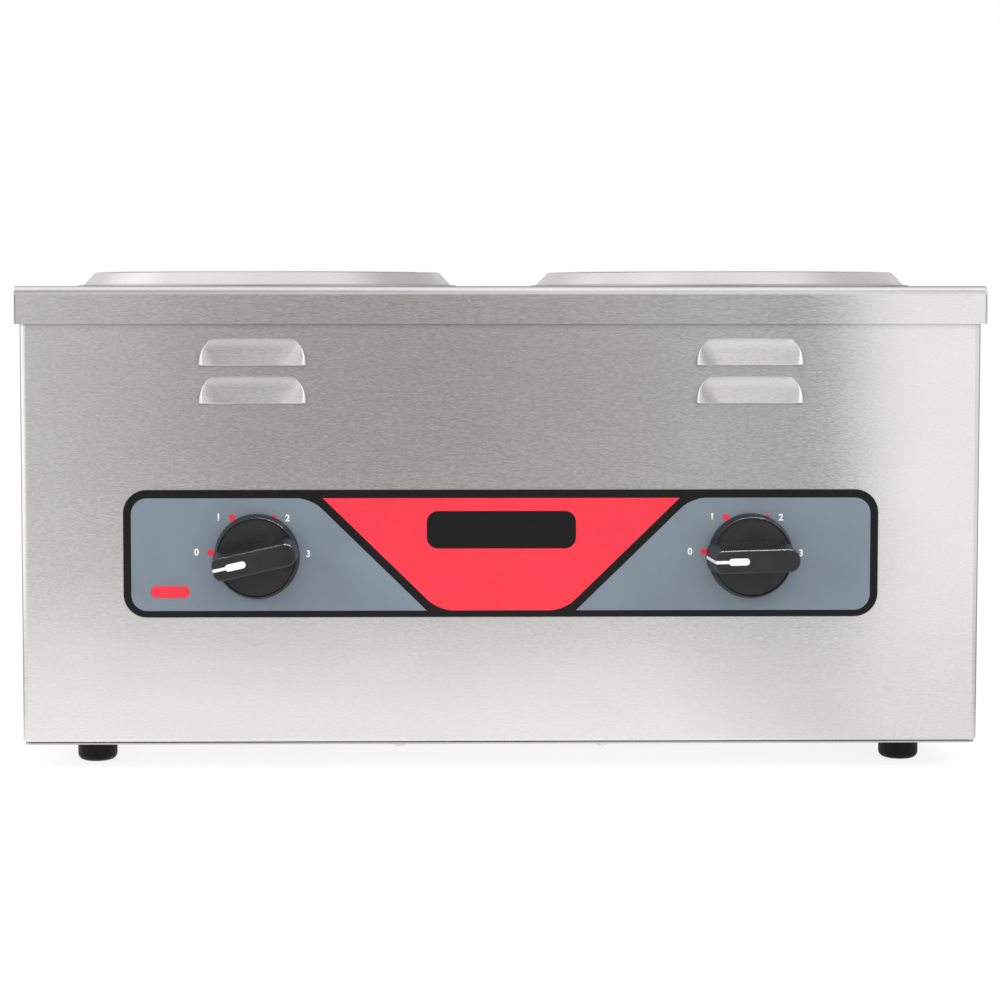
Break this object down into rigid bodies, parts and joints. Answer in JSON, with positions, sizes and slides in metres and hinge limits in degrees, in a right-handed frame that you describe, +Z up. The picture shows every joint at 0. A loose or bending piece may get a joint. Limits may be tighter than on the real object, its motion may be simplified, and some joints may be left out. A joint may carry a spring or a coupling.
{
  "type": "countertop food warmer",
  "caption": "Countertop food warmer: a stainless cabinet with round drawn wells in its deck, and a bar knob for each well on a printed control plate.",
  "frame": {"origin": "on the counter, under the middle of the whole outline, knobs included", "axes": "+X along the length, to the right as seen from the knobs; -Y to the front, where the knobs are; +Z up"},
  "size_m": [0.578, 0.3374, 0.2993],
  "materials": {
    "brushed_panel": "brushed along the length",
    "brushed_deck": "brushed along the length",
    "cover_steel": "mill finish",
    "spun_well": "drawn, with fine rings round the wall",
    "bright_screws": "bright nickel plate",
    "zinc_nuts": "zinc plate",
    "foot_rubber": "matt moulded rubber",
    "overlay_print": "fine-textured printed plate in black, grey and red",
    "gland_plastic": "moulded",
    "ground_brass": "plain",
    "block_ceramic": "thin glaze",
    "jacket_fibre": "woven glass fibre",
    "lead_sleeve": "braided glass-fibre sleeve over the wire",
    "heater_sheath": "darkened by heat",
    "clamp_steel": "plain",
    "shield_steel": "bright",
    "knob_plastic": "fine moulded grain",
    "pointer_paint": "white fill",
    "shaft_steel": "turned",
    "regulator_case": "moulded",
    "blade_brass": "plain"
  },
  "bodies": {
    "cabinet": {"body_wrap": "brushed_panel", "bottom_cover": "cover_steel", "bottom_cover_screws": "bright_screws", "control_overlay": "overlay_print", "deck_nuts": "zinc_nuts", "foot_front_left": "foot_rubber", "foot_front_right": "foot_rubber", "foot_nuts": "zinc_nuts", "foot_rear_left": "foot_rubber", "foot_rear_right": "foot_rubber", "foot_screws": "bright_screws", "ground_nut": "ground_brass", "ground_screw": "ground_brass", "left_bush_nut": "zinc_nuts", "left_heat_shield": "shield_steel", "left_heater": "heater_sheath", "left_heater_clamp": "clamp_steel", "left_heater_lead": "lead_sleeve", "left_insulation_jacket": "jacket_fibre", "left_line_lead": "lead_sleeve", "left_regulator": "regulator_case", "left_regulator_blades": "blade_brass", "left_return_lead": "lead_sleeve", "left_stud_nuts": "zinc_nuts", "left_well": "spun_well", "rear_panel": "brushed_panel", "rear_panel_screws": "bright_screws", "right_bush_nut": "zinc_nuts", "right_heat_shield": "shield_steel", "right_heater": "heater_sheath", "right_heater_clamp": "clamp_steel", "right_heater_lead": "lead_sleeve", "right_insulation_jacket": "jacket_fibre", "right_line_lead": "lead_sleeve", "right_regulator": "regulator_case", "right_regulator_blades": "blade_brass", "right_return_lead": "lead_sleeve", "right_stud_nuts": "zinc_nuts", "right_well": "spun_well", "supply_gland": "gland_plastic", "terminal_block": "block_ceramic", "terminal_block_screws": "bright_screws", "terminal_screws": "ground_brass", "top_deck": "brushed_deck"},
    "left_control_knob": {"left_knob": "knob_plastic", "left_knob_pointer": "pointer_paint", "left_shaft": "shaft_steel"},
    "right_control_knob": {"right_knob": "knob_plastic", "right_knob_pointer": "pointer_paint", "right_shaft": "shaft_steel"}
  },
  "joints": [
    {"name": "left_knob_turn", "type": "hinge", "parent": "cabinet", "child": "left_control_knob", "pos_m": [-0.1456, -0.13653, 0.1293], "axis": [0, 1, 0], "continuous": true},
    {"name": "right_knob_turn", "type": "hinge", "parent": "cabinet", "child": "right_control_knob", "pos_m": [0.1488, -0.13653, 0.1293], "axis": [0, 1, 0], "continuous": true}
  ]
}
